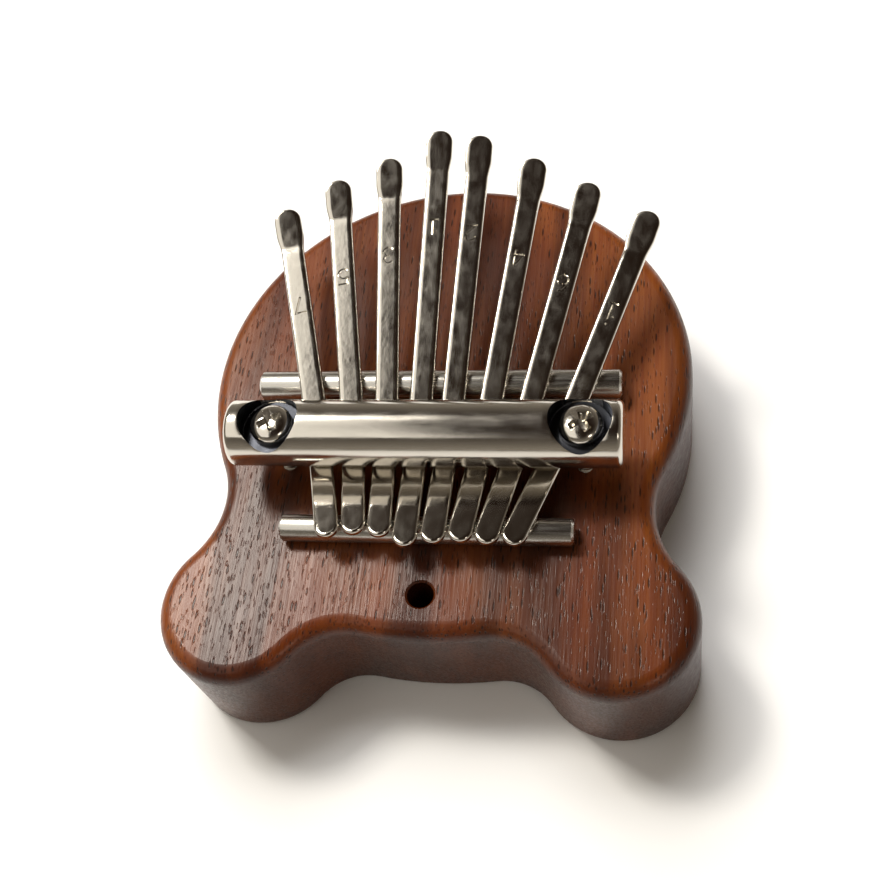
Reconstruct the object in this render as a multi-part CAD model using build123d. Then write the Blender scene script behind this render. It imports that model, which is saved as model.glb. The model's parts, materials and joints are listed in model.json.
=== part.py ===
from build123d import *
import math
import os

# An eight-note thumb piano on a solid wooden body with a round head and two round ears.
# Millimetres and degrees. The origin is on the base, under the middle of the outline.
# +Y points to the playing tips of the tines, +X to the right of them and +Z up.

# ---- wooden body ----
body_thickness = 20.2
head_radius = 38.8
ear_radius = 12.2
ear_spacing = 56.0  # between the centres of the two ears
ear_drop = 40.9  # from the head's centre back to the ears' centres
chin_drop = 45.4  # from the head's centre back to the chin
chin_radius = 61.5
neck_radius = 14.4  # hollow curve between head and ear
nook_radius = 9.5  # hollow curve between ear and chin
top_round = 2.5
base_round = 1.1

# ---- bar and rods, which lie across the body ----
bar_drop = 17.0  # from the head's centre back to the bar's axis
bar_diameter = 10.0
bar_length = 59.0
bar_lift = 4.1  # clear height under the bar
bar_shift = -0.4  # the bar's middle from the middle of the body
bar_end_round = 0.9
front_rod_diameter = 4.8
front_rod_length = 57.6
front_rod_shift = -0.6  # the rod's middle from the middle of the body
front_rod_reach = 12.9  # from the bar's axis to the rod's axis
rear_rod_diameter = 4.1
rear_rod_length = 44.2
rear_rod_reach = 12.3
rod_end_chamfer = 0.4
seat_depth = 0.25  # how deep the rods are let into the wood

# ---- lanyard hole ----
lanyard_diameter = 4.0
lanyard_drop = 21.8  # from the bar's axis back to the hole
lanyard_chamfer = 0.3

# ---- screws ----
screw_spacing = 46.2
screw_head_diameter = 6.5
screw_head_height = 2.4
screw_head_side = 0.9  # height of the head's upright side
screw_thread_diameter = 3.0
screw_core_diameter = 2.2
screw_pitch = 1.3
thread_gap_share = 0.6  # of the pitch, the bare core above each thread ring
thread_crest_share = 0.8  # of the pitch, down to the ring's crest
screw_length = 22.0
screw_point_length = 3.0
screw_point_radius = 0.2
recess_span = 3.9
recess_width = 1.0
recess_depth = 1.3
recess_taper = 12.0
pocket_clearance = 1.35  # round the screw head in the bar
pocket_depth = 3.4  # below the top of the bar
shank_clearance = 0.35
pilot_diameter = 2.3
pilot_extra = 1.5  # pilot hole beyond the screw's point

# ---- tines ----
strip_width = 3.75
strip_thickness = 1.2
strip_edge_radius = 0.45
tine_bend_radius = 38.0  # of the curve that the bar presses into each tine
tip_width = 4.5
tip_thickness = 1.0
tip_edge_radius = 0.3
tip_length = 7.5
tip_flare_length = 2.2
tip_lift_angle = 6.0
contact_gap = 0.02  # between tine and the bar or rod that it bears on
hinge_lead = 1.0  # from the front rod's line of contact to where the free blade starts
hinge_gap = 0.12

# Each tine: note, place along the bar, fan angle, reach in front of the bar, reach behind it.
TINES = [
    ("note_7", -17.5, -13.9, 42.9, 15.7),
    ("note_5", -12.2, -8.8, 47.4, 14.8),
    ("note_3", -7.2, -4.2, 50.8, 15.0),
    ("note_1", -2.3, -0.4, 55.7, 16.5),
    ("note_2", 2.4, 1.9, 54.4, 15.9),
    ("note_4", 7.6, 6.8, 49.9, 15.7),
    ("note_6", 12.9, 12.2, 45.7, 16.2),
    ("note_1_high", 18.7, 18.9, 41.5, 16.8),
]

# ---- places that follow from the sizes ----
head_y = (ear_drop + ear_radius - head_radius) / 2
ear_y = head_y - ear_drop
chin_y = head_y - chin_drop
bar_y = head_y - bar_drop
lanyard_y = bar_y - lanyard_drop
front_rod_y = bar_y + front_rod_reach
rear_rod_y = bar_y - rear_rod_reach
front_rod_z = body_thickness + front_rod_diameter / 2 - seat_depth
rear_rod_z = body_thickness + rear_rod_diameter / 2 - seat_depth
bar_z = body_thickness + bar_lift + bar_diameter / 2
pocket_floor_z = bar_z + bar_diameter / 2 - pocket_depth
tine_z = body_thickness + bar_lift - contact_gap - strip_thickness / 2


def fillet_centre(centre_a, radius_a, centre_b, radius_b, side):
    """Centre at radius_a from one point and radius_b from another; side picks one of the two."""
    across = centre_b - centre_a
    gap = across.length
    along = (radius_a**2 - radius_b**2 + gap**2) / (2 * gap)
    off = math.sqrt(radius_a**2 - along**2)
    unit = across / gap
    return centre_a + unit * along + Vector(-unit.Y, unit.X) * off * side


def on_circle(centre, radius, towards):
    """Point of a circle that faces another point."""
    return centre + (towards - centre).normalized() * radius


def mirrored(point):
    return Vector(-point.X, point.Y)


def body_outline():
    """Closed outline of head, ears and chin, as arcs that run into each other."""
    head = Vector(0, head_y)
    ear = Vector(ear_spacing / 2, ear_y)
    chin = Vector(0, chin_y + chin_radius)
    neck = fillet_centre(head, head_radius + neck_radius, ear, ear_radius + neck_radius, 1)
    nook = fillet_centre(chin, chin_radius + nook_radius, ear, ear_radius + nook_radius, -1)
    chin_end = on_circle(chin, chin_radius, nook)
    ear_start = on_circle(ear, ear_radius, nook)
    ear_end = on_circle(ear, ear_radius, neck)
    head_start = on_circle(head, head_radius, neck)
    nook_middle = on_circle(nook, nook_radius, (chin_end + ear_start) / 2)
    ear_middle = on_circle(ear, ear_radius, ear * 2 - head)
    neck_middle = on_circle(neck, neck_radius, (ear_end + head_start) / 2)
    right = [
        (chin_end, nook_middle, ear_start),
        (ear_start, ear_middle, ear_end),
        (ear_end, neck_middle, head_start),
    ]
    arcs = [ThreePointArc(mirrored(chin_end), Vector(0, chin_y), chin_end)]
    arcs += [ThreePointArc(*points) for points in right]
    arcs.append(ThreePointArc(head_start, Vector(0, head_y + head_radius), mirrored(head_start)))
    arcs += [ThreePointArc(*[mirrored(p) for p in reversed(points)]) for points in reversed(right)]
    return make_face(arcs)


def lying_rod(diameter, length, x, y, z):
    """Cylinder along X."""
    return Pos(x, y, z) * Rot(0, 90, 0) * Cylinder(diameter / 2, length)


def screw_places():
    return [(-screw_spacing / 2, bar_y), (screw_spacing / 2, bar_y)]


def wood_body():
    block = extrude(body_outline(), body_thickness)
    block = fillet(block.edges().group_by(Axis.Z)[-1], top_round)
    block = fillet(block.edges().group_by(Axis.Z)[0], base_round)
    rim = lanyard_diameter / 2 + lanyard_chamfer
    hole = Pos(0, lanyard_y, body_thickness / 2) * Cylinder(lanyard_diameter / 2, body_thickness)
    sink = Cone(lanyard_diameter / 2, rim, lanyard_chamfer)
    top_sink = Pos(0, lanyard_y, body_thickness - lanyard_chamfer / 2) * sink
    base_sink = Pos(0, lanyard_y, lanyard_chamfer / 2) * Rot(180, 0, 0) * sink
    block -= [hole, top_sink, base_sink]
    block -= lying_rod(front_rod_diameter, front_rod_length, front_rod_shift, front_rod_y, front_rod_z)
    block -= lying_rod(rear_rod_diameter, rear_rod_length, 0, rear_rod_y, rear_rod_z)
    pilot_bottom = pocket_floor_z - screw_length - pilot_extra
    pilot_depth = body_thickness - pilot_bottom
    for x, y in screw_places():
        block -= Pos(x, y, pilot_bottom + pilot_depth / 2) * Cylinder(pilot_diameter / 2, pilot_depth)
    return block


def bridge_rod(diameter, length, x, y, z):
    rod = lying_rod(diameter, length, x, y, z)
    return chamfer(rod.edges().filter_by(GeomType.CIRCLE), rod_end_chamfer)


def pressure_bar():
    bar = lying_rod(bar_diameter, bar_length, bar_shift, bar_y, bar_z)
    bar = fillet(bar.edges().filter_by(GeomType.CIRCLE), bar_end_round)
    pocket_radius = screw_head_diameter / 2 + pocket_clearance
    shank_radius = screw_thread_diameter / 2 + shank_clearance
    pocket = Cylinder(pocket_radius, bar_diameter, align=(Align.CENTER, Align.CENTER, Align.MIN))
    for x, y in screw_places():
        bar -= Pos(x, y, pocket_floor_z) * pocket
        bar -= Pos(x, y, bar_z) * Cylinder(shank_radius, 2 * bar_diameter)
    return bar


def screw_profile():
    """Half section of the screw, from the top of the head down to its point."""
    head = screw_head_diameter / 2
    crest = screw_thread_diameter / 2
    core = screw_core_diameter / 2
    rise = screw_head_height - screw_head_side
    dome_radius = (head**2 + rise**2) / (2 * rise)
    dome_centre = Vector(0, screw_head_height - dome_radius)
    side_top = Vector(head, screw_head_side)
    dome_top = Vector(0, screw_head_height)
    dome_middle = on_circle(dome_centre, dome_radius, (side_top + dome_top) / 2)
    points = [(head, screw_head_side), (head, 0), (core, 0)]
    turns = int((screw_length - screw_point_length) / screw_pitch)
    for turn in range(turns):
        top = -turn * screw_pitch
        points.append((core, top - screw_pitch * thread_gap_share))
        points.append((crest, top - screw_pitch * thread_crest_share))
        points.append((core, top - screw_pitch))
    points.append((screw_point_radius, -screw_length))
    points.append((0, -screw_length))
    points.append((0, screw_head_height))
    return make_face([ThreePointArc(dome_top, dome_middle, side_top), Polyline(points)])


def screw(x, y):
    """Wood screw with a domed head and a cross recess; the thread is drawn as rings."""
    body = revolve(Plane.XZ * screw_profile(), Axis.Z)
    cross = Rectangle(recess_span, recess_width) + Rectangle(recess_width, recess_span)
    top = Pos(0, 0, screw_head_height)
    body -= top * extrude(cross, -recess_depth, taper=recess_taper)
    return Pos(x, y, pocket_floor_z) * body


class TineLine:
    """Middle line of one tine seen from the side: u runs out from the bar, z is the height.

    It is an arc under the bar, with a straight run over each rod.
    """

    def __init__(self, fan_angle, reach_front, reach_back):
        self.fan = math.radians(fan_angle)
        self.front = self.run(front_rod_reach, front_rod_z, front_rod_diameter / 2)
        self.back = self.run(rear_rod_reach, rear_rod_z, rear_rod_diameter / 2)
        self.reach_front = reach_front
        self.reach_back = reach_back

    def run(self, rod_reach, rod_z, rod_radius):
        """Slope of the straight run that leaves the arc and bears on a rod, and where it bears.

        A fanned tine crosses the rod askew, so it bears on one edge of its underside.
        """
        rod_u = rod_reach / math.cos(self.fan)
        drop = tine_z + tine_bend_radius - rod_z
        slope = 0
        for _ in range(4):
            edge_rise = strip_width / 2 * abs(math.sin(self.fan)) * math.tan(slope)
            stand_off = rod_radius + contact_gap + strip_thickness / 2 + edge_rise
            tangent = math.asin((tine_bend_radius + stand_off) / math.hypot(rod_u, drop))
            slope = tangent - math.atan2(drop, rod_u)
        contact = (rod_u - stand_off * math.sin(slope), rod_z + stand_off * math.cos(slope))
        return slope, contact

    def arc_point(self, angle):
        """Point of the arc under the bar, by its slope; negative is behind the bar."""
        return (tine_bend_radius * math.sin(angle), tine_z + tine_bend_radius * (1 - math.cos(angle)))

    def hinge(self):
        """Where the free blade starts to bend, just outside the front rod."""
        slope, contact = self.front
        return (contact[0] + hinge_lead * math.cos(slope), contact[1] + hinge_lead * math.sin(slope))

    def tail_end(self):
        slope, contact = self.back
        return (-self.reach_back, contact[1] + (self.reach_back - contact[0]) * math.tan(slope))

    def tip_bend(self):
        """Where the flattened playing tip turns up."""
        slope, contact = self.front
        u = self.reach_front - tip_length * math.cos(self.tip_slope())
        return (u, contact[1] + (u - contact[0]) * math.tan(slope))

    def tip_slope(self):
        return self.front[0] + math.radians(tip_lift_angle)


def side_point(point):
    """Point of the YZ plane from a pair of u and z."""
    return Vector(0, point[0], point[1])


def strip(path):
    """The tine's rolled strip along a path in the YZ plane."""
    start = Plane(origin=path @ 0, x_dir=(1, 0, 0), z_dir=path % 0)
    return sweep(start * RectangleRounded(strip_width, strip_thickness, strip_edge_radius), path=path)


def tine_tail(line):
    """The clamped part, from its rounded end behind the rear rod to just past the front rod."""
    back = side_point(line.arc_point(-line.back[0]))
    under = side_point(line.arc_point(0))
    front = side_point(line.arc_point(line.front[0]))
    end = side_point(line.tail_end())
    slope = line.front[0]
    setback = side_point((math.cos(slope), math.sin(slope))) * hinge_gap
    path = Wire([
        Line(end, back),
        ThreePointArc(back, under, front),
        Line(front, side_point(line.hinge()) - setback),
    ])
    overall = 2 * line.reach_back + 2 * line.reach_front
    plan = Pos(0, line.reach_front) * Rot(0, 0, 90) * SlotOverall(overall, strip_width)
    return strip(path) & extrude(plan, 2 * body_thickness + bar_diameter)


def tip_plan():
    """Plan of the flattened tip: it flares from the strip's width and ends round."""
    half = strip_width / 2
    wide = tip_width / 2
    side_end = tip_length - wide
    right = [Line((half, 0), (wide, tip_flare_length)), Line((wide, tip_flare_length), (wide, side_end))]
    left = [Line((-wide, side_end), (-wide, tip_flare_length)), Line((-wide, tip_flare_length), (-half, 0))]
    end = ThreePointArc((wide, side_end), (0, tip_length), (-wide, side_end))
    return make_face(right + [end] + left + [Line((-half, 0), (half, 0))])


def tine_blade(line):
    """The free part, from just past the front rod to its rounded playing tip."""
    bend = side_point(line.tip_bend())
    shaft = strip(Wire([Line(side_point(line.hinge()), bend)]))
    lift = math.degrees(line.tip_slope())
    pad = extrude(tip_plan(), tip_thickness / 2, both=True)
    end_faces = pad.faces().filter_by(Axis.Z)
    pad = fillet(end_faces.edges().filter_by(lambda edge: edge.center().Y > tip_edge_radius), tip_edge_radius)
    return shaft + Pos(bend) * Rot(lift, 0, 0) * pad


def placed(tine, x, fan_angle):
    """Move a tine from its own frame to its place across the bar."""
    return Pos(x, bar_y, 0) * Rot(0, 0, -fan_angle) * tine


def build():
    """Every node of the model, by name."""
    left, right = screw_places()
    nodes = {
        "wood_body": wood_body(),
        "front_bridge_rod": bridge_rod(
            front_rod_diameter, front_rod_length, front_rod_shift, front_rod_y, front_rod_z
        ),
        "rear_bridge_rod": bridge_rod(rear_rod_diameter, rear_rod_length, 0, rear_rod_y, rear_rod_z),
        "pressure_bar": pressure_bar(),
        "screw_left": screw(*left),
        "screw_right": screw(*right),
    }
    for note, x, fan_angle, reach_front, reach_back in TINES:
        line = TineLine(fan_angle, reach_front, reach_back)
        nodes["tine_" + note + "_tail"] = placed(tine_tail(line), x, fan_angle)
        nodes["tine_" + note + "_blade"] = placed(tine_blade(line), x, fan_angle)
        hinge = placed(Pos(side_point(line.hinge())), x, fan_angle).position
        print(note, "hinge at", [round(value, 4) for value in hinge])
        print("    rise", round(math.degrees(line.front[0]), 3), "fan", fan_angle)
    return nodes


os.makedirs("parts", exist_ok=True)
for name, solid in build().items():
    export_step(solid, os.path.join("parts", name + ".step"))
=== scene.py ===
import json
import math

import bmesh
import bpy
from bpy.props import FloatProperty, FloatVectorProperty, PointerProperty
from mathutils import Matrix, Vector


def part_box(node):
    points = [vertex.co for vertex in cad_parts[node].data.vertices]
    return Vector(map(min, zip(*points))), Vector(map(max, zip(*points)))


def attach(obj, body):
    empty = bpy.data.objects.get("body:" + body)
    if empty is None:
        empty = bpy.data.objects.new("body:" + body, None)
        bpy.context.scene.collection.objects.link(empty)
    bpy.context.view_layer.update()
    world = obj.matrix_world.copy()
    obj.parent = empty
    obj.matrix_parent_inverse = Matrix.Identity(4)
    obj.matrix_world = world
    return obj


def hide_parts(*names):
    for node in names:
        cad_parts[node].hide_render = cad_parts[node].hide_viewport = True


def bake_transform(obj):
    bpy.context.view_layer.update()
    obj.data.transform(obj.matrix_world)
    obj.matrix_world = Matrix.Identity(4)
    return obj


bl_info = {
    "name": "Thumb Piano",
    "version": (1, 0, 0),
    "blender": (4, 5, 0),
    "location": "3D View > Sidebar > Thumb Piano",
    "description": "Builds the finished look of an eight-note thumb piano on its frame",
    "category": "Object",
}

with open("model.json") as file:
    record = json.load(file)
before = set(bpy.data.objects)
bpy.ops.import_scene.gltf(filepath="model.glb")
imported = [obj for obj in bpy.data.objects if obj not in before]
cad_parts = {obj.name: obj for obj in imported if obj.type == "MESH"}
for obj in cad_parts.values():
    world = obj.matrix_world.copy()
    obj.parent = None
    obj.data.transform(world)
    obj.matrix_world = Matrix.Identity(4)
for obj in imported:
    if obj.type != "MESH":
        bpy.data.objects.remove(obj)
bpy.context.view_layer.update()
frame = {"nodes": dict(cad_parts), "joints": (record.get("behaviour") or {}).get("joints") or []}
MM = 0.001
UP = Vector((0, 0, 1))
ALONG_BAR = Vector((1, 0, 0))
# The Mix node has sockets of the same name for numbers and colours; these are the colour ones.
MIX_A, MIX_B, MIX_RESULT = 6, 7, 2

# Each tine from left to right: its note, its reach in front of the bar's middle and behind it (mm),
# and the numeral stamped on it.
TINES = [
    ("note_7", 42.9, 15.7, "7"),
    ("note_5", 47.4, 14.8, "5"),
    ("note_3", 50.8, 15.0, "3"),
    ("note_1", 55.7, 16.5, "1"),
    ("note_2", 54.4, 15.9, "2"),
    ("note_4", 49.9, 15.7, "4"),
    ("note_6", 45.7, 16.2, "6"),
    ("note_1_high", 41.5, 16.8, "1 dot"),
]


# ---- colours, sizes and nodes ----


def linear(hex_colour):
    """Linear red, green, blue and alpha of an sRGB hex colour."""
    channels = [int(hex_colour[i : i + 2], 16) / 255 for i in (1, 3, 5)]
    light = [c / 12.92 if c <= 0.04045 else ((c + 0.055) / 1.055) ** 2.4 for c in channels]
    return (*light, 1.0)


def millimetres(name, description, value):
    """A length property; its default is given in millimetres and kept in metres."""
    return FloatProperty(
        name=name, description=description, default=value * MM, min=0, unit="LENGTH", precision=5
    )


def colour(name, description, hex_colour):
    """A colour property; its default is an sRGB hex colour."""
    return FloatVectorProperty(
        name=name,
        description=description,
        default=linear(hex_colour),
        size=4,
        min=0,
        max=1,
        subtype="COLOR",
    )


def add_node(tree, kind, inputs=None, **settings):
    """Add a node, set its attributes, and fill its inputs with values or with other nodes' sockets."""
    node = tree.nodes.new(kind)
    for key, value in settings.items():
        setattr(node, key, value)
    for key, value in (inputs or {}).items():
        if isinstance(value, bpy.types.NodeSocket):
            tree.links.new(value, node.inputs[key])
        else:
            node.inputs[key].default_value = value
    return node


def per_mm(x, y, z):
    """Mapping scale that makes a pattern of unit size x by y by z millimetres."""
    return (1 / (x * MM), 1 / (y * MM), 1 / (z * MM))


def new_material(name):
    """An empty node material, its tree and the object's own coordinates."""
    material = bpy.data.materials.new(name)
    material.use_nodes = True
    material.node_tree.nodes.clear()
    place = add_node(material.node_tree, "ShaderNodeTexCoord").outputs["Object"]
    return material, material.node_tree, place


def finish_material(material, inputs):
    """Put one Principled shader with these inputs on the material's output."""
    tree = material.node_tree
    shader = add_node(tree, "ShaderNodeBsdfPrincipled", inputs)
    add_node(tree, "ShaderNodeOutputMaterial", {"Surface": shader.outputs["BSDF"]})
    return material


# ---- what a user may change ----


class WoodSettings(bpy.types.PropertyGroup):
    light_grain: colour("Light grain", "Pale bands of the mahogany under its lacquer", "#7d4319")
    dark_grain: colour("Dark grain", "Dark bands of the mahogany", "#46210c")
    pores: colour("Pores", "The open pores, which the stain fills", "#1d0c06")
    pore_length: millimetres("Pore length", "Length of one pore along the grain", 1.8)
    pore_width: millimetres("Pore width", "Width of one pore", 0.18)


class MetalSettings(bpy.types.PropertyGroup):
    nickel: colour("Nickel plate", "Colour of the plated bar, screws and tines", "#d4cfc6")
    steel: colour("Drawn steel", "Colour of the two bare rods", "#c9c6c0")
    # The pocket colour is painted shade: near black, standing in for the shade inside the bored pockets.
    pocket_painted_shade: colour("Drilled steel", "Colour of the drilled pockets, darker than plate", "#3d3f45")


class FittingSettings(bpy.types.PropertyGroup):
    bar_end_round: millimetres("Bar end rounding", "Radius of the bar's tumbled end edges", 0.9)
    rod_chamfer: millimetres("Rod chamfer", "Chamfer of the rods' sawn ends", 0.4)
    pocket_radius: millimetres("Pocket radius", "Half the bore that each screw head sits in", 4.6)
    pocket_depth: millimetres("Pocket depth", "From the top of the bar to the pocket's floor", 3.4)
    shank_bore: millimetres("Shank bore", "Half the hole through the bar under each pocket", 1.85)
    pocket_rim: millimetres("Pocket rim", "Width of the deburred rim of each pocket", 0.45)
    head_height: millimetres("Screw head height", "Height of the domed head", 2.4)
    thread_pitch: millimetres("Thread pitch", "Distance between turns of the screw thread", 1.3)


class TineSettings(bpy.types.PropertyGroup):
    width: millimetres("Strip width", "Width of the rolled strip", 3.75)
    thickness: millimetres("Strip thickness", "Thickness of the rolled strip", 1.2)
    tip_width: millimetres("Tip width", "Width of the flattened playing tip", 4.5)
    tip_thickness: millimetres("Tip thickness", "Thickness of the playing tip", 1.0)
    tip_length: millimetres("Tip length", "From the crease to the end of the tip", 7.5)
    numeral_height: millimetres("Numeral height", "Height of the stamped numeral", 2.7)
    numeral_stroke: millimetres("Numeral stroke", "Width of the numeral's stamped line", 0.4)
    numeral_depth: millimetres("Numeral depth", "Depth of the stamped line", 0.2)


class StageSettings(bpy.types.PropertyGroup):
    floor: colour("Floor", "Matt white table top", "#f4f3f1")
    window: colour("Window panel", "Colour of the two window panels' light", "#fffaf0")
    sky: colour("Room overhead", "Dim light overhead", "#261c15")
    horizon: colour("Room walls", "Light of the pale walls near the horizon", "#8f877b")


# ---- shapes ----


def new_piece(name, points, faces):
    """A mesh object from points in millimetres, with the faces of a closed one turned outward."""
    mesh = bpy.data.meshes.new(name)
    mesh.from_pydata([Vector(point) * MM for point in points], [], faces)
    skin = bmesh.new()
    skin.from_mesh(mesh)
    bmesh.ops.recalc_face_normals(skin, faces=skin.faces)
    skin.to_mesh(mesh)
    skin.free()
    piece = bpy.data.objects.new(name, mesh)
    bpy.context.scene.collection.objects.link(piece)
    return piece


def smooth(piece, angle=30):
    """Smooth shading with edges sharper than the angle kept crisp."""
    piece.data.shade_smooth()
    piece.data.set_sharp_from_angle(angle=math.radians(angle))
    return piece


def settled(piece):
    """Turn the piece's modifiers into its mesh."""
    graph = bpy.context.evaluated_depsgraph_get()
    mesh = bpy.data.meshes.new_from_object(piece.evaluated_get(graph))
    old = piece.data
    piece.modifiers.clear()
    piece.data = mesh
    bpy.data.meshes.remove(old)
    return piece


def cut(piece, cutters):
    """Cut the cutters out of the piece and throw them away."""
    for cutter in cutters:
        piece.modifiers.new("cut", "BOOLEAN").object = cutter
    for modifier in piece.modifiers:
        modifier.operation = "DIFFERENCE"
        modifier.solver = "EXACT"
    settled(piece)
    for cutter in cutters:
        bpy.data.objects.remove(cutter)
    return piece


def turned(name, profile, place, axis, steps):
    """Solid of revolution: the profile is pairs of radius and height, its first and last radius 0."""
    side = axis.orthogonal().normalized()
    other = axis.cross(side)
    rings = profile[1:-1]
    points = [place + axis * profile[0][1]]
    for radius, height in rings:
        for step in range(steps):
            turn = 2 * math.pi * step / steps
            outward = side * math.cos(turn) + other * math.sin(turn)
            points.append(place + axis * height + outward * radius)
    points.append(place + axis * profile[-1][1])
    last = len(points) - 1
    faces = []
    for step in range(steps):
        after = (step + 1) % steps
        faces.append((0, 1 + after, 1 + step))
        for ring in range(len(rings) - 1):
            low, high = 1 + ring * steps, 1 + (ring + 1) * steps
            faces.append((low + step, low + after, high + after, high + step))
        low = 1 + (len(rings) - 1) * steps
        faces.append((low + step, low + after, last))
    return new_piece(name, points, faces)


def prism(name, bottom, top, low, high, place):
    """A solid between two flat outlines, set down by the matrix of its place."""
    count = len(bottom)
    points = [place @ Vector((x, y, low)) for x, y in bottom]
    points += [place @ Vector((x, y, high)) for x, y in top]
    faces = [tuple(reversed(range(count))), tuple(range(count, 2 * count))]
    for k in range(count):
        after = (k + 1) % count
        faces.append((k, after, count + after, count + k))
    return new_piece(name, points, faces)


def arc(centre, radius_x, radius_y, start, end, steps=10):
    """Points along part of an ellipse, by degrees."""
    turns = [math.radians(start + (end - start) * k / steps) for k in range(steps + 1)]
    return [(centre[0] + radius_x * math.cos(t), centre[1] + radius_y * math.sin(t)) for t in turns]


def box_mm(node):
    """A node's lowest and highest corner, in millimetres."""
    low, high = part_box(node)
    return low / MM, high / MM


def in_mm(group, name):
    """A length setting, in millimetres."""
    return getattr(group, name) / MM


def ease(value, low, high):
    """From 0 at the low value to 1 at the high one, level at both ends."""
    t = min(max((value - low) / (high - low), 0), 1)
    return t * t * (3 - 2 * t)


# ---- materials ----


def lacquered_mahogany():
    """Mahogany, sawn along its grain, sanded, stained and sprayed with one coat of satin lacquer.

    It gives soft ribbon bands, fine fibre streaks and short dark open pores that the thin
    lacquer doesn't level, so its sheen is broken up by them.
    """
    wood = bpy.context.scene.thumb_piano_wood
    material, tree, place = new_material("lacquered_mahogany")

    def streaks(x, y, z, detail, rough=0.5, warp=0.0):
        """Soft noise drawn out to x by y by z millimetres."""
        mapping = {"Vector": place, "Scale": per_mm(x, y, z)}
        scaled = add_node(tree, "ShaderNodeMapping", mapping).outputs["Vector"]
        noise = {
            "Vector": scaled, "Scale": 1.0, "Detail": detail, "Roughness": rough, "Distortion": warp
        }
        return add_node(tree, "ShaderNodeTexNoise", noise).outputs["Fac"]

    def ramp(value, low, high, to_low=0.0, to_high=1.0):
        """Spread a value's range from low to high over another range, easing at both ends."""
        ends = {
            "Value": value, "From Min": low, "From Max": high, "To Min": to_low, "To Max": to_high
        }
        spread = add_node(tree, "ShaderNodeMapRange", ends, interpolation_type="SMOOTHSTEP")
        return spread.outputs["Result"]

    def times(a, b):
        return add_node(tree, "ShaderNodeMath", {0: a, 1: b}, operation="MULTIPLY").outputs[0]

    def mixed(share, a, b, blend="MIX"):
        sockets = {"Factor": share, MIX_A: a, MIX_B: b}
        mix = add_node(tree, "ShaderNodeMix", sockets, data_type="RGBA", blend_type=blend)
        return mix.outputs[MIX_RESULT]

    # Ribbon bands are 5 to 9 mm wide and run the length of the board.
    bands = ramp(streaks(7, 90, 16, 3, warp=0.3), 0.3, 0.7)
    # Fibre streaks are about 0.4 mm wide; the real ones are finer and would not show.
    fibres = ramp(streaks(0.42, 14, 0.6, 3, 0.6), 0.3, 0.7)
    blotches = ramp(streaks(13, 22, 13, 2), 0.35, 0.65)
    tone = mixed(bands, tuple(wood.dark_grain), tuple(wood.light_grain))
    tone = mixed(times(fibres, 0.55), tone, mixed(1.0, tone, linear("#c99a78"), "MULTIPLY"))
    tone = mixed(times(blotches, 0.45), tone, mixed(1.0, tone, linear("#c89070"), "MULTIPLY"))
    # Painted shade: faces that turn sideways, the walls and their rounded edges, are painted darker than
    # the face, for the shade they lie in; routed walls also take a little more stain.
    facing = add_node(tree, "ShaderNodeNewGeometry").outputs["Normal"]
    upward = add_node(tree, "ShaderNodeSeparateXYZ", {"Vector": facing}).outputs["Z"]
    tone = mixed(ramp(upward, 0.05, 0.75, 0.62, 0.0), tone, linear("#34180b"))

    def pore_layer(width, length, share, crowd):
        """One pore to a cell, in cells a few pores wide and about two pores long."""
        cells = per_mm(width * 3.4, length * 1.9, width * 3.4)
        mapping = {"Vector": place, "Scale": cells}
        scaled = add_node(tree, "ShaderNodeMapping", mapping).outputs["Vector"]
        cell = add_node(
            tree, "ShaderNodeTexVoronoi", {"Vector": scaled, "Scale": 1.0, "Randomness": 1.0}
        )
        spot = ramp(cell.outputs["Distance"], 0.14, 0.3, 1.0, 0.0)
        return times(times(spot, ramp(crowd, 0.3, 0.5)), share)

    width, length = in_mm(wood, "pore_width"), in_mm(wood, "pore_length")
    crowd = streaks(4.5, 30, 6, 2)
    coarse = pore_layer(width, length, 1.0, crowd)
    fine = pore_layer(width * 0.6, length * 0.6, 0.6, streaks(3, 18, 4, 2))
    pores = add_node(tree, "ShaderNodeMath", {0: coarse, 1: fine}, operation="MAXIMUM").outputs[0]
    tone = mixed(times(pores, 0.85), tone, tuple(wood.pores))

    height = add_node(
        tree, "ShaderNodeMath", {0: times(fibres, 0.25), 1: pores}, operation="SUBTRACT"
    ).outputs[0]
    grain = add_node(
        tree, "ShaderNodeBump", {"Height": height, "Strength": 0.55, "Distance": 0.09 * MM}
    ).outputs["Normal"]
    # The lacquer lies in slow waves where the board was sanded by hand.
    waves = add_node(
        tree,
        "ShaderNodeBump",
        {"Height": streaks(6, 11, 6, 2), "Strength": 0.5, "Distance": 0.25 * MM, "Normal": grain},
    ).outputs["Normal"]
    roughness = ramp(fibres, 0.0, 1.0, 0.36, 0.5)
    # The lacquer wets the wood, so the wood under it reflects little by itself.
    return finish_material(
        material,
        {
            "Base Color": tone,
            "Roughness": roughness,
            "IOR": 1.5,
            "Specular IOR Level": 0.14,
            "Coat Weight": 0.4,
            "Coat Roughness": 0.26,
            "Coat IOR": 1.5,
            "Normal": waves,
            "Coat Normal": waves,
        },
    )


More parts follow.
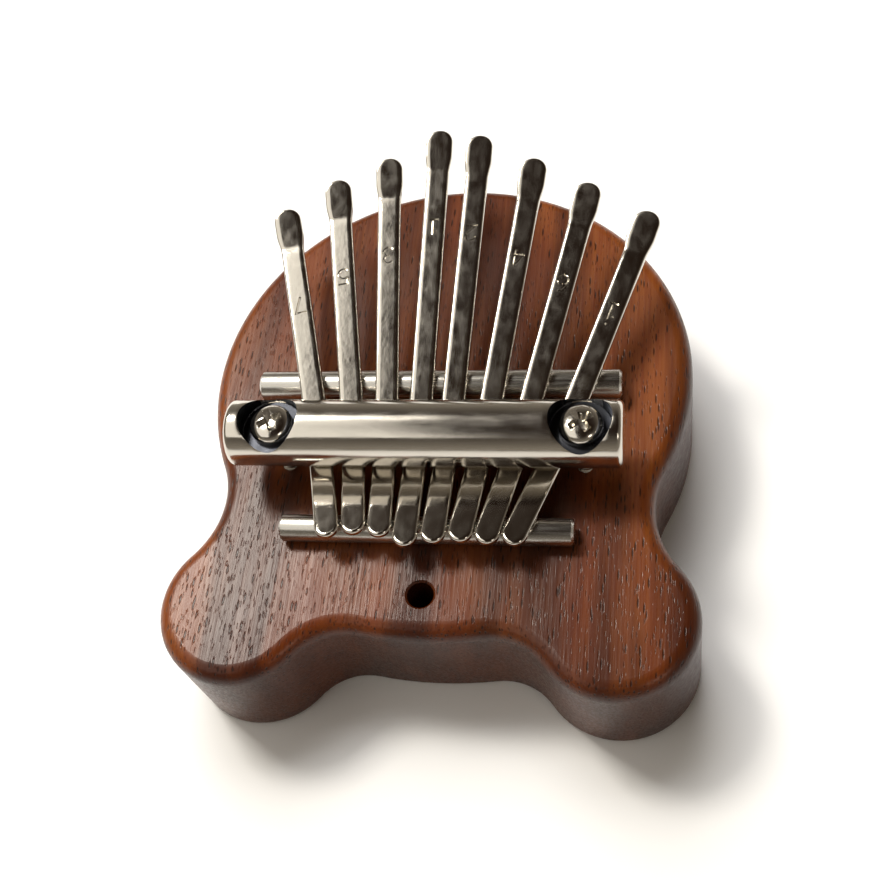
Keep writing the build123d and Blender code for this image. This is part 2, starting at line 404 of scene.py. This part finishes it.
def metal_finish(name, metal_colour, rough_low, rough_high, grit, ripples):
    """A metal whose roughness wanders between two values over patches of the grit's size.

    Ripples are pairs of a size in mm, three ways, and how high its waves stand in mm.
    """
    material, tree, place = new_material(name)

    def noise(size, detail):
        """Noise of the given size in millimetres."""
        mapping = {"Vector": place, "Scale": per_mm(*size)}
        scaled = add_node(tree, "ShaderNodeMapping", mapping).outputs["Vector"]
        inputs = {"Vector": scaled, "Scale": 1.0, "Detail": detail}
        return add_node(tree, "ShaderNodeTexNoise", inputs).outputs["Fac"]

    patches = noise(grit, 3.0)
    roughness = add_node(
        tree,
        "ShaderNodeMapRange",
        {"Value": patches, "From Min": 0.3, "From Max": 0.7, "To Min": rough_low, "To Max": rough_high},
    ).outputs["Result"]
    inputs = {"Base Color": tuple(metal_colour), "Metallic": 1.0, "Roughness": roughness}
    for size, height in ripples:
        bump = {"Height": noise(size, 2.0), "Strength": 1.0, "Distance": height * MM}
        if "Normal" in inputs:
            bump["Normal"] = inputs["Normal"]
        inputs["Normal"] = add_node(tree, "ShaderNodeBump", bump).outputs["Normal"]
    return finish_material(material, inputs)


def polished_nickel_plate():
    """Nickel plate on a polished steel bar: a warm mirror with faint polishing waves along it."""
    nickel = bpy.context.scene.thumb_piano_metal.nickel
    ripples = [((7, 1.6, 1.6), 0.012), ((0.7, 0.35, 0.35), 0.0025)]
    return metal_finish("polished_nickel_plate", nickel, 0.12, 0.2, (5, 1.2, 1.2), ripples)


def pocket_painted_shade():
    """The bore left by the drill and thinly plated, painted near black as painted shade for the pocket's
    depth, with rings about 0.2 mm apart.
    """
    steel = bpy.context.scene.thumb_piano_metal.pocket_painted_shade
    return metal_finish("pocket_painted_shade", steel, 0.25, 0.4, (3, 3, 0.4), [((4, 4, 0.2), 0.01)])


def drawn_steel():
    """Bright steel rod pulled through a die: a satin sheen with fine lines along the rod."""
    steel = bpy.context.scene.thumb_piano_metal.steel
    return metal_finish("drawn_steel", steel, 0.2, 0.32, (8, 0.4, 0.4), [((12, 0.25, 0.25), 0.003)])


def plated_screw_steel():
    """Zinc-nickel plate on a cold-headed screw: bright, slightly pebbled by the heading die."""
    nickel = bpy.context.scene.thumb_piano_metal.nickel
    return metal_finish("plated_screw_steel", nickel, 0.1, 0.22, (1, 1, 1), [((0.8, 0.8, 0.8), 0.008)])


def rolled_spring_steel():
    """Spring steel strip, rolled flat and nickel plated: a mirror that the rolls left mottled."""
    nickel = bpy.context.scene.thumb_piano_metal.nickel
    ripples = [((2.2, 3.5, 2.2), 0.011), ((0.6, 0.9, 0.6), 0.002)]
    return metal_finish("rolled_spring_steel", nickel, 0.07, 0.13, (1.5, 2.5, 1.5), ripples)


def white_table_top():
    """Matt white laminate: almost even, with a faint orange peel that keeps it from looking flat."""
    floor = bpy.context.scene.thumb_piano_stage.floor
    material, tree, place = new_material("white_table_top")
    mapping = {"Vector": place, "Scale": per_mm(3, 3, 3)}
    scaled = add_node(tree, "ShaderNodeMapping", mapping).outputs["Vector"]
    peel = add_node(tree, "ShaderNodeTexNoise", {"Vector": scaled, "Scale": 1.0}).outputs["Fac"]
    normal = add_node(tree, "ShaderNodeBump", {"Height": peel, "Distance": 0.02 * MM}).outputs["Normal"]
    return finish_material(material, {"Base Color": tuple(floor), "Roughness": 0.7, "Normal": normal})


def made_material(maker):
    """The material of this kind, made once and then shared."""
    return bpy.data.materials.get(maker.__name__) or maker()


def give(piece, makers):
    """Put materials on a new piece."""
    piece.data.materials.clear()
    for maker in makers:
        piece.data.materials.append(made_material(maker))


# ---- tines ----


class TineCourse:
    """The middle line of one tine seen from the side, as the frame's tail and blade have it.

    It is a straight tail over the rear rod, an arc under the bar, a straight run over the front
    rod and a steeper tip. Its own frame has U along the tine, from under the bar, and Z up.
    """

    bend_radius = 38.0  # mm, of the arc that the bar presses into the strip
    gap = 0.02  # mm, between the strip and each rod or bar that it bears on
    tip_lift = math.radians(6)

    def __init__(self, note, reach_front, reach_back):
        sizes = bpy.context.scene.thumb_piano_tine
        joint = next(j for j in frame["joints"] if j["name"] == "flex_" + note)
        axis = Vector(joint["axis"])
        bar_low, bar_high = box_mm("pressure_bar")
        self.bar_y = (bar_low.y + bar_high.y) / 2
        self.fan = math.atan2(-axis.y, axis.x)
        self.hinge = Vector(joint["pos_m"]) / MM
        self.x = self.hinge.x - (self.hinge.y - self.bar_y) * math.tan(self.fan)
        self.thickness = in_mm(sizes, "thickness")
        self.width = in_mm(sizes, "width")
        self.tip_length = in_mm(sizes, "tip_length")
        self.z = bar_low.z - self.gap - self.thickness / 2
        self.front = self.run("front_bridge_rod")
        self.back = self.run("rear_bridge_rod")
        slope, (contact_u, contact_z) = self.front
        self.tip_slope = slope + self.tip_lift
        bend_u = reach_front - self.tip_length * math.cos(self.tip_slope)
        self.bend = Vector((bend_u, contact_z + (bend_u - contact_u) * math.tan(slope)))
        slope, (contact_u, contact_z) = self.back
        self.end = Vector((-reach_back, contact_z + (reach_back - contact_u) * math.tan(slope)))
        self.back_length = (self.end - self.on_arc(-self.back[0])).length
        self.arc_length = self.bend_radius * (self.back[0] + self.front[0])
        self.front_length = (self.bend - self.on_arc(self.front[0])).length
        self.crease = self.back_length + self.arc_length + self.front_length
        self.length = self.crease + self.tip_length

    def run(self, rod):
        """Slope of the straight run over a rod, and where it bears on it."""
        low, high = box_mm(rod)
        radius = (high.z - low.z) / 2
        rod_z = (high.z + low.z) / 2
        reach = abs((high.y + low.y) / 2 - self.bar_y) / math.cos(self.fan)
        drop = self.z + self.bend_radius - rod_z
        slope = 0
        # A fanned strip lies askew on the rod and bears on one edge, by an amount that depends on
        # the slope, so the slope is worked out a few times over.
        for _ in range(4):
            edge_rise = self.width / 2 * abs(math.sin(self.fan)) * math.tan(slope)
            stand_off = radius + self.gap + self.thickness / 2 + edge_rise
            share = (self.bend_radius + stand_off) / math.hypot(reach, drop)
            slope = math.asin(share) - math.atan2(drop, reach)
        return slope, (reach - stand_off * math.sin(slope), rod_z + stand_off * math.cos(slope))

    def on_arc(self, angle):
        """The point of the arc where the strip has this slope."""
        rise = self.bend_radius * (1 - math.cos(angle))
        return Vector((self.bend_radius * math.sin(angle), self.z + rise))

    def at(self, s):
        """Place and slope of the middle line, by the length run from the tail's end."""
        if s < self.back_length:
            slope = -self.back[0]
            return self.end + Vector((math.cos(slope), math.sin(slope))) * s, slope
        s -= self.back_length
        if s < self.arc_length:
            slope = s / self.bend_radius - self.back[0]
            return self.on_arc(slope), slope
        s -= self.arc_length
        slope = self.front[0]
        if s < self.front_length:
            return self.on_arc(slope) + Vector((math.cos(slope), math.sin(slope))) * s, slope
        s -= self.front_length
        slope = self.tip_slope
        return self.bend + Vector((math.cos(slope), math.sin(slope))) * s, slope

    def to_row(self):
        """Matrix from the tine's own frame to the row's, in millimetres."""
        return Matrix.Translation((self.x, self.bar_y, 0)) @ Matrix.Rotation(-self.fan, 4, "Z")

    def point(self, s, across, lift):
        """A point of the row frame from its place along, across and above the middle line."""
        middle, slope = self.at(s)
        u = middle.x - lift * math.sin(slope)
        return self.to_row() @ Vector((across, u, middle.y + lift * math.cos(slope)))

    def frame_at(self, s):
        """Matrix whose X runs across the tine, Y along it and Z out of its face."""
        middle, slope = self.at(s)
        local = Matrix.Translation((0, middle.x, middle.y)) @ Matrix.Rotation(slope, 4, "X")
        return self.to_row() @ local


def tine_rail(course):
    """The strip's edge, from the middle of the tail's end to the middle of the tip's end."""
    sizes = bpy.context.scene.thumb_piano_tine
    half, wide = course.width / 2, in_mm(sizes, "tip_width") / 2
    turns = [math.pi / 2 * k / 12 for k in range(13)]
    rail = [(half - half * math.cos(t), half * math.sin(t)) for t in turns]
    # The strip's side, in steps short enough for the bends.
    step_length = 0.7
    flare_start, flare_end = course.crease - 0.15, course.crease + 3.0
    steps = round((course.crease - half) / step_length)
    for k in range(1, steps):
        rail.append((half + (flare_start - half) * k / steps, half))
    # The hammered tip is wider.
    for k in range(13):
        s = flare_start + (flare_end - flare_start) * k / 12
        rail.append((s, half + (wide - half) * ease(s, flare_start, flare_end)))
    side_end = course.length - wide
    for k in range(1, 6):
        rail.append((flare_end + (side_end - flare_end) * k / 6, wide))
    # Its end is a little squarer than a half circle.
    squareness = 2.06
    for k in range(17):
        turn = math.pi / 2 * (1 - k / 16)
        across = wide * math.sin(turn) ** (2 / squareness)
        rail.append((side_end + wide * math.cos(turn) ** (2 / squareness), across if k < 16 else 0))
    return rail


def tine_mesh(name, course):
    """One closed skin for the whole strip: rounded edges, round tail and flattened tip."""
    sizes = bpy.context.scene.thumb_piano_tine
    tip_thickness = in_mm(sizes, "tip_thickness")
    rail = tine_rail(course)
    last = len(rail) - 1
    normals = [Vector((-1, 0))]
    for k in range(1, last):
        along = Vector(rail[k + 1]) - Vector(rail[k - 1])
        normals.append(Vector((-along.y, along.x)).normalized())
    normals.append(Vector((1, 0)))

    def section(s):
        """Thickness, and the width and height of the rounded edge, which is tighter on the tip."""
        flat = ease(s, course.crease - 0.5, course.crease + 0.7)
        thickness = course.thickness + (tip_thickness - course.thickness) * flat
        tighter = 0.1 * flat
        return thickness, 0.42 - tighter, 0.46 - tighter

    def ring(turn, side):
        """One closed loop round the strip; the turn is 0 at its edge and 90 degrees at its face."""
        loop = []
        for k in list(range(last + 1)) + [-k for k in range(last - 1, 0, -1)]:
            s, across = rail[abs(k)]
            normal = normals[abs(k)]
            thickness, inset, height = section(s)
            pull = inset * (1 - math.cos(turn))
            lift = side * (thickness / 2 - height + height * math.sin(turn))
            s, across = s - normal.x * pull, across - normal.y * pull
            loop.append(course.point(s, across if k >= 0 else -across, lift))
        return loop

    rounds = 6
    turns = [math.pi / 2 * k / rounds for k in range(rounds + 1)]
    loops = [ring(turn, -1) for turn in reversed(turns)] + [ring(turn, 1) for turn in turns]
    count = len(loops[0])
    points = [point for loop in loops for point in loop]
    faces = []
    for row in range(len(loops) - 1):
        for k in range(count):
            after = (k + 1) % count
            low, high = row * count, (row + 1) * count
            faces.append((low + k, high + k, high + after, low + after))
    # The underside and the face are closed with rows of quads from edge to edge.
    columns = 6
    for start, flip in ((0, False), ((len(loops) - 1) * count, True)):
        rows = []
        for k in range(1, last):
            right, left = start + k, start + count - k
            row = [right]
            for column in range(1, columns):
                points.append(points[right].lerp(points[left], column / columns))
                row.append(len(points) - 1)
            rows.append(row + [left])
        cover = [(start, rows[0][c], rows[0][c + 1]) for c in range(columns)]
        cover += [(start + last, rows[-1][c + 1], rows[-1][c]) for c in range(columns)]
        for low, high in zip(rows, rows[1:]):
            cover += [(low[c], high[c], high[c + 1], low[c + 1]) for c in range(columns)]
        faces += [tuple(reversed(face)) for face in cover] if flip else cover
    return new_piece(name, points, faces)


def numeral_strokes(numeral):
    """The strokes of a stamped numeral in a cell 1 high, each a line of points.

    Strokes that meet never share a point, because the cutters made from them would then have
    coinciding corners.
    """
    flag = [(-0.21, 0.31), (0.01, 0.49)]
    stem = [(0.02, 0.5), (0.022, -0.49)]
    foot = [(-0.24, -0.51), (0.28, -0.5)]
    dot = [(0.01, 0.8), (0.03, 0.83)]
    return {
        "1": [flag, stem, foot],
        "2": [
            arc((0, 0.2), 0.3, 0.3, 165, -35),
            [(0.25, 0.04), (-0.3, -0.47)],
            [(-0.32, -0.5), (0.34, -0.49)],
        ],
        "3": [
            arc((0, 0.25), 0.28, 0.25, 150, -90),
            arc((0, -0.25), 0.31, 0.26, 90, -150),
        ],
        "4": [
            [(0.12, -0.5), (0.125, 0.5)],
            [(0.1, 0.47), (-0.35, -0.18)],
            [(-0.37, -0.21), (0.36, -0.2)],
        ],
        "5": [
            [(0.28, 0.5), (-0.2, 0.49)],
            [(-0.22, 0.47), (-0.26, 0.07)],
            arc((-0.01, -0.18), 0.31, 0.32, 133, -145),
        ],
        "6": [
            arc((0.12, -0.2), 0.42, 0.7, 85, 180),
            arc((0, -0.2), 0.3, 0.3, 180, -180, 20),
        ],
        "7": [
            [(-0.3, 0.5), (0.3, 0.51)],
            [(0.29, 0.48), (-0.06, -0.5)],
        ],
        "1 dot": [flag, stem, foot, dot],
    }[numeral]


def stroke_outline(line, half):
    """Outline of a line of points drawn with a round pen; a closed line gives two outlines."""
    line = [Vector(point) for point in line]
    closed = (line[0] - line[-1]).length < 1e-4
    sides = [[], []]
    for k, point in enumerate(line):
        before, after = line[max(k - 1, 0)], line[min(k + 1, len(line) - 1)]
        if closed and k in (0, len(line) - 1):
            before, after = line[-2], line[1]
        along = (after - before).normalized()
        normal = Vector((-along.y, along.x)) * half
        sides[0].append(point + normal)
        sides[1].append(point - normal)
    if closed:
        return sides
    outline = sides[1] + round_end(line[-1], line[-1] - line[-2], half)
    outline += list(reversed(sides[0])) + round_end(line[0], line[0] - line[1], half)
    return [outline]


def round_end(point, along, half):
    """Half circle beyond the end of a pen stroke."""
    start = math.atan2(along.y, along.x)
    turns = [start + math.pi * (k / 6 - 0.5) for k in range(1, 6)]
    return [point + Vector((math.cos(t), math.sin(t))) * half for t in turns]


def stamp(tine, course, numeral):
    """Stamp the numeral in the strip's face, upright for the player."""
    sizes = bpy.context.scene.thumb_piano_tine
    height = in_mm(sizes, "numeral_height")
    half = in_mm(sizes, "numeral_stroke") / 2
    depth = in_mm(sizes, "numeral_depth")
    from_crease = 10.5  # mm, to the numeral's middle
    place = course.frame_at(course.crease - from_crease) @ Matrix.Rotation(math.pi, 4, "Z")
    top = course.thickness / 2
    # The punch has a blunt edge, so each line is a V with sloping sides. The cutter goes as far
    # above the face as below it, and is as wide as the pen where it meets the face.
    edge_share = 0.25
    cutters = []
    for line in numeral_strokes(numeral):
        # Each stroke is a trace deeper than the last, so that no two floors lie in one plane.
        depth *= 1.03
        scaled = [(x * height, y * height) for x, y in line]
        bottom = stroke_outline(scaled, half * edge_share)
        above = stroke_outline(scaled, half * (2 - edge_share))
        low, high = top - depth, top + depth
        if len(bottom) == 1:
            cutters.append(prism("stamp", bottom[0], above[0], low, high, place))
        else:
            cutters.append(ring_prism(bottom, above, low, high, place))
    return cut(tine, cutters)


def ring_prism(bottom, top, low, high, place):
    """A prism with a hole, for a stroke that closes on itself."""
    count = len(bottom[0]) - 1
    points = []
    for height, outlines in ((low, bottom), (high, top)):
        for side in outlines:
            points += [place @ Vector((p.x, p.y, height)) for p in side[:count]]
    faces = []
    for k in range(count):
        after = (k + 1) % count
        faces.append((k, after, count + after, count + k))
        faces.append((2 * count + k, 3 * count + k, 3 * count + after, 2 * count + after))
        faces.append((k, 2 * count + k, 2 * count + after, after))
        faces.append((count + k, count + after, 3 * count + after, 3 * count + k))
    return new_piece("stamp", points, faces)


# ---- operators: one for each piece or group of like pieces ----


class THUMB_OT_wood(bpy.types.Operator):
    """Finish the wooden body"""

    bl_idname = "thumb_piano.wood"
    bl_label = "Wooden body"

    def execute(self, context):
        body = frame["nodes"]["wood_body"]
        body.data.materials.clear()
        body.data.materials.append(made_material(lacquered_mahogany))
        return {"FINISHED"}


class THUMB_OT_rods(bpy.types.Operator):
    """Turn the two rods that the tines bear on"""

    bl_idname = "thumb_piano.rods"
    bl_label = "Bridge rods"

    def execute(self, context):
        chamfer = in_mm(context.scene.thumb_piano_fitting, "rod_chamfer")
        for node in ("front_bridge_rod", "rear_bridge_rod"):
            low, high = box_mm(node)
            radius, half = (high.z - low.z) / 2, (high.x - low.x) / 2
            ease_off = chamfer / 4
            end = [
                (radius, half - chamfer - ease_off),
                (radius - ease_off / 3, half - chamfer + ease_off / 3),
                (radius - chamfer + ease_off / 3, half - ease_off / 3),
                (radius - chamfer - ease_off, half),
                (0, half),
            ]
            profile = [(r, -h) for r, h in reversed(end)] + end
            rod = turned("rod_" + node, profile, (low + high) / 2, ALONG_BAR, 64)
            smooth(rod)
            give(rod, [drawn_steel])
            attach(rod, "root")
            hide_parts(node)
        return {"FINISHED"}


class THUMB_OT_bar(bpy.types.Operator):
    """Turn the pressure bar and drill its two screw pockets"""

    bl_idname = "thumb_piano.bar"
    bl_label = "Pressure bar"

    def execute(self, context):
        sizes = context.scene.thumb_piano_fitting
        low, high = box_mm("pressure_bar")
        centre = (low + high) / 2
        radius, half = (high.z - low.z) / 2, (high.x - low.x) / 2
        end_round = in_mm(sizes, "bar_end_round")
        end = [(radius, half - end_round * 2)]
        for k in range(8):
            turn = math.pi / 2 * k / 7
            r = radius - end_round * (1 - math.cos(turn))
            end.append((r, half - end_round * (1 - math.sin(turn))))
        end += [(radius * 0.5, half), (0, half)]
        # Rings along the bar keep its long faces short enough to shade evenly.
        straight = half - end_round * 2
        body = [(radius, straight * (2 * k / 40 - 1)) for k in range(1, 40)]
        profile = [(r, -h) for r, h in reversed(end)] + body + end
        bar = turned("clamping_bar", profile, centre, ALONG_BAR, 96)
        cutters = []
        pocket = in_mm(sizes, "pocket_radius")
        # Height of the pockets' floor above the bar's middle, and of the rounding round it.
        floor = high.z - in_mm(sizes, "pocket_depth") - centre.z
        floor_round = 0.12
        shank_bore = in_mm(sizes, "shank_bore")
        past = 2 * radius
        profile = [
            (0, -past),
            (shank_bore, -past),
            (shank_bore, floor),
            (pocket * 0.97, floor),
            (pocket, floor + floor_round),
            (pocket, past),
            (0, past),
        ]
        for x in screw_lines():
            cutters.append(turned("pocket", profile, Vector((x, centre.y, centre.z)), UP, 90))
        cut(bar, cutters)
        self.soften_rims(bar, centre, radius, pocket, in_mm(sizes, "pocket_rim"))
        self.paint_pockets(bar, centre, radius)
        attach(bar, "root")
        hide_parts("pressure_bar")
        return {"FINISHED"}

    def soften_rims(self, bar, centre, radius, pocket, width):
        """Round off the saddle-shaped edge where each pocket breaks the bar's face."""
        mesh = bar.data
        lines = screw_lines()
        near = 0.02

        def on_rim(p):
            off_face = abs(math.hypot(p.y - centre.y, p.z - centre.z) - radius)
            off_bore = min(abs(math.hypot(p.x - x, p.y - centre.y) - pocket) for x in lines)
            return off_face < near and off_bore < near and p.z > centre.z

        weight = mesh.attributes.new("bevel_weight_edge", "FLOAT", "EDGE")
        for edge in mesh.edges:
            ends = [mesh.vertices[k].co / MM for k in edge.vertices]
            weight.data[edge.index].value = 1.0 if all(on_rim(end) for end in ends) else 0.0
        bevel = bar.modifiers.new("rim", "BEVEL")
        bevel.limit_method = "WEIGHT"
        bevel.width = width * MM
        bevel.segments = 3
        settled(bar)
        smooth(bar, 32)

    def paint_pockets(self, bar, centre, radius):
        """The bored walls and floors take the near-black finish, painted shade for the inside of the
        pockets.
        """
        give(bar, [polished_nickel_plate, pocket_painted_shade])
        lines = screw_lines()
        # The faces inside the bar, but not the middle of its ends.
        least_depth, most_reach = 0.4, 5
        for face in bar.data.polygons:
            middle = face.center / MM
            depth = radius - math.hypot(middle.y - centre.y, middle.z - centre.z)
            if depth > least_depth and min(abs(middle.x - x) for x in lines) < most_reach:
                face.material_index = 1


def screw_lines():
    """X of each screw's axis, in millimetres."""
    places = []
    for node in ("screw_left", "screw_right"):
        low, high = box_mm(node)
        places.append((low.x + high.x) / 2)
    return places


class THUMB_OT_screws(bpy.types.Operator):
    """Head and thread the two screws"""

    bl_idname = "thumb_piano.screws"
    bl_label = "Screws"

    def execute(self, context):
        sizes = context.scene.thumb_piano_fitting
        height = in_mm(sizes, "head_height")
        pitch = in_mm(sizes, "thread_pitch")
        # Each recess is left at the angle, in degrees, where its screw came tight.
        for node, turn in (("screw_left", 28), ("screw_right", 36)):
            low, high = box_mm(node)
            head_radius = (high.x - low.x) / 2
            base = Vector(((low.x + high.x) / 2, (low.y + high.y) / 2, high.z - height))
            screw = self.head(node, base, head_radius, height)
            self.recess(screw, base, height, math.radians(turn))
            smooth(screw, 35)
            give(screw, [plated_screw_steel])
            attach(screw, "root")
            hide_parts(node)
            shank = self.shank(node + "_thread", base, base.z - low.z, pitch)
            smooth(shank, 50)
            give(shank, [plated_screw_steel])
            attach(shank, "root")
        return {"FINISHED"}

    def head(self, name, base, radius, height):
        """Pan head: a short upright side, a full shoulder and a shallow dome."""
        side, edge, fullness = 0.9, 0.25, 0.72
        rise = height - side
        profile = [(0, 0), (radius - edge, 0), (radius - 0.07, 0.07), (radius, edge)]
        for k in range(18):
            turn = math.pi / 2 * k / 18
            profile.append((radius * math.cos(turn) ** fullness, side + rise * math.sin(turn)))
        profile.append((0, height))
        return turned("head_" + name, profile, base, UP, 64)

    def recess(self, screw, base, height, turn):
        """Cross recess whose walls draw in towards its floor."""
        place = Matrix.Translation(base) @ Matrix.Rotation(turn, 4, "Z")
        # Half an arm's length and width, at the recess's floor and a little above the dome.
        at_floor, above = (1.0, 0.36), (2.35, 0.68)
        low, high = height - 1.6, height + 0.4
        cutters = []
        for quarter in (0, math.pi / 2):
            arm = place @ Matrix.Rotation(quarter, 4, "Z")
            outlines = [[(-x, -y), (x, -y), (x, y), (-x, y)] for x, y in (at_floor, above)]
            cutters.append(prism("recess", *outlines, low, high, arm))
        cut(screw, cutters)
        bevel = screw.modifiers.new("edge", "BEVEL")
        bevel.limit_method = "ANGLE"
        bevel.angle_limit = math.radians(40)
        bevel.width = 0.07 * MM
        bevel.segments = 2
        settled(screw)

    def shank(self, name, base, length, pitch):
        """Threaded shank: one helical ridge that runs out at the point."""
        steps, rows_per_turn = 32, 10
        core, crest = 1.1, 1.5
        # The ridge takes this share of the pitch on each side of its crest.
        ridge_share = 0.28
        point_length, bluntness = 3.0, 0.6
        rows = int(length / pitch * rows_per_turn)
        points, faces = [], []
        for row in range(rows + 1):
            depth = length * row / rows
            taper = max(1 - ease(depth, length - point_length, length + bluntness), 0.1)
            rise = (crest - core) * ease(depth, 0, 2 * pitch)
            for step in range(steps):
                turn = 2 * math.pi * step / steps
                phase = (depth / pitch - step / steps) % 1
                ridge = max(0.0, 1 - abs(phase - 0.5) / ridge_share)
                radius = (core + rise * ridge) * taper
                outward = Vector((math.cos(turn), math.sin(turn), 0))
                points.append(base + outward * radius - UP * depth)
        for row in range(rows):
            for step in range(steps):
                after = (step + 1) % steps
                low, high = row * steps, (row + 1) * steps
                faces.append((low + step, high + step, high + after, low + after))
        faces.append(tuple(range(steps)))
        faces.append(tuple(reversed(range(rows * steps, (rows + 1) * steps))))
        return new_piece(name, points, faces)


class THUMB_OT_tines(bpy.types.Operator):
    """Roll, bend, flatten and stamp the eight tines"""

    bl_idname = "thumb_piano.tines"
    bl_label = "Tines"

    def execute(self, context):
        for note, reach_front, reach_back, numeral in TINES:
            course = TineCourse(note, reach_front, reach_back)
            tine = tine_mesh("tine_" + note, course)
            stamp(tine, course, numeral)
            smooth(tine, 32)
            give(tine, [rolled_spring_steel])
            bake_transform(tine)
            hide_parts(f"tine_{note}_tail", f"tine_{note}_blade")
        return {"FINISHED"}


class THUMB_OT_stage(bpy.types.Operator):
    """Set the table top, the lights, the room and the camera"""

    bl_idname = "thumb_piano.stage"
    bl_label = "Stage"

    def execute(self, context):
        scene = context.scene
        scene.view_settings.view_transform = "Standard"
        self.table_top()
        self.lights(scene)
        self.room(scene)
        self.camera(scene)
        return {"FINISHED"}

    def table_top(self):
        half = 3000  # mm
        corners = [(-half, -half, 0), (half, -half, 0), (half, half, 0), (-half, half, 0)]
        top = new_piece("table_top", corners, [(0, 1, 2, 3)])
        top.data.materials.append(made_material(white_table_top))

    def panel(self, name, place, aim, size, watts, tint, mirrored=True):
        """A soft rectangular light; one that isn't mirrored only lights matt surfaces."""
        light = bpy.data.lights.new(name, "AREA")
        light.shape = "RECTANGLE"
        light.size, light.size_y = size
        light.energy = watts
        light.color = tint[:3]
        lamp = bpy.data.objects.new(name, light)
        lamp.location = place
        lamp.rotation_euler = (Vector(aim) - Vector(place)).to_track_quat("-Z", "Y").to_euler()
        lamp.visible_glossy = mirrored
        bpy.context.scene.collection.objects.link(lamp)

    def lights(self, scene):
        window = scene.thumb_piano_stage.window
        # Places and sizes are in metres and the lights' strength in watts.
        # The left of the room is bright, so metal that faces it is pale and the rest is dark.
        self.panel("window_side", (-0.74, -0.2, 1.0), (-0.74, -0.2, 0), (1.0, 1.6), 5.6, window)
        self.panel("window", (-0.52, 0.42, 1.0), (0, 0, 0), (0.26, 0.26), 8.0, window)
        self.panel("overhead", (-0.2, 0.55, 0.85), (0, 0, 0), (0.7, 0.7), 10, linear("#ffffff"), False)
        self.panel("front_fill", (0.8, -0.7, 0.9), (0, 0, 0), (0.3, 0.3), 1.2, linear("#fff4e6"))

    def room(self, scene):
        """Dim overhead and brighter near the horizon, like a pale room."""
        world = bpy.data.worlds.new("room")
        scene.world = world
        world.use_nodes = True
        tree = world.node_tree
        tree.nodes.clear()
        towards = add_node(tree, "ShaderNodeTexCoord").outputs["Generated"]
        height = add_node(tree, "ShaderNodeSeparateXYZ", {"Vector": towards}).outputs["Z"]
        share = add_node(
            tree, "ShaderNodeMapRange", {"Value": height, "From Min": 0.1, "From Max": 0.85}
        ).outputs["Result"]
        sky = tuple(scene.thumb_piano_stage.sky)
        horizon = tuple(scene.thumb_piano_stage.horizon)
        tint = add_node(
            tree, "ShaderNodeMix", {"Factor": share, MIX_A: horizon, MIX_B: sky}, data_type="RGBA"
        ).outputs[MIX_RESULT]
        light = add_node(tree, "ShaderNodeBackground", {"Color": tint, "Strength": 1.0})
        add_node(tree, "ShaderNodeOutputWorld", {"Surface": light.outputs["Background"]})

    def camera(self, scene):
        camera = bpy.data.cameras.new("view")
        camera.sensor_width = 36
        camera.lens = 50.456
        camera.clip_start, camera.clip_end = 0.01, 20
        eye = bpy.data.objects.new("view", camera)
        # The camera is over the lower right of the instrument and rolled clockwise.
        place = Vector((38.0, -101.305, 183.625)) * MM
        aim = Vector((0.791, -6.197, 20.2)) * MM
        tilt = math.radians(-18.11)
        level = (aim - place).to_track_quat("-Z", "Y").to_matrix().to_4x4()
        roll = Matrix.Rotation(tilt, 4, "Z")
        eye.matrix_world = Matrix.Translation(place) @ level @ roll
        scene.collection.objects.link(eye)
        scene.camera = eye


class THUMB_PT_panel(bpy.types.Panel):
    """Settings and steps of the thumb piano"""

    bl_idname = "THUMB_PT_panel"
    bl_label = "Thumb Piano"
    bl_space_type = "VIEW_3D"
    bl_region_type = "UI"
    bl_category = "Thumb Piano"

    def draw(self, context):
        layout = self.layout
        for key, group in GROUPS.items():
            box = layout.box()
            settings = getattr(context.scene, key)
            for name in group.__annotations__:
                box.prop(settings, name)
        for step in STEPS:
            layout.operator(step.bl_idname)


GROUPS = {
    "thumb_piano_wood": WoodSettings,
    "thumb_piano_metal": MetalSettings,
    "thumb_piano_fitting": FittingSettings,
    "thumb_piano_tine": TineSettings,
    "thumb_piano_stage": StageSettings,
}
STEPS = [THUMB_OT_wood, THUMB_OT_rods, THUMB_OT_bar, THUMB_OT_screws, THUMB_OT_tines, THUMB_OT_stage]


def register():
    for kind in [*GROUPS.values(), *STEPS, THUMB_PT_panel]:
        bpy.utils.register_class(kind)
    for key, group in GROUPS.items():
        setattr(bpy.types.Scene, key, PointerProperty(type=group))


def unregister():
    for key in GROUPS:
        delattr(bpy.types.Scene, key)
    for kind in reversed([*GROUPS.values(), *STEPS, THUMB_PT_panel]):
        bpy.utils.unregister_class(kind)


def main():
    register()
    bpy.ops.thumb_piano.wood()
    bpy.ops.thumb_piano.rods()
    bpy.ops.thumb_piano.bar()
    bpy.ops.thumb_piano.screws()
    bpy.ops.thumb_piano.tines()
    bpy.ops.thumb_piano.stage()


if __name__ == "__main__":
    main()
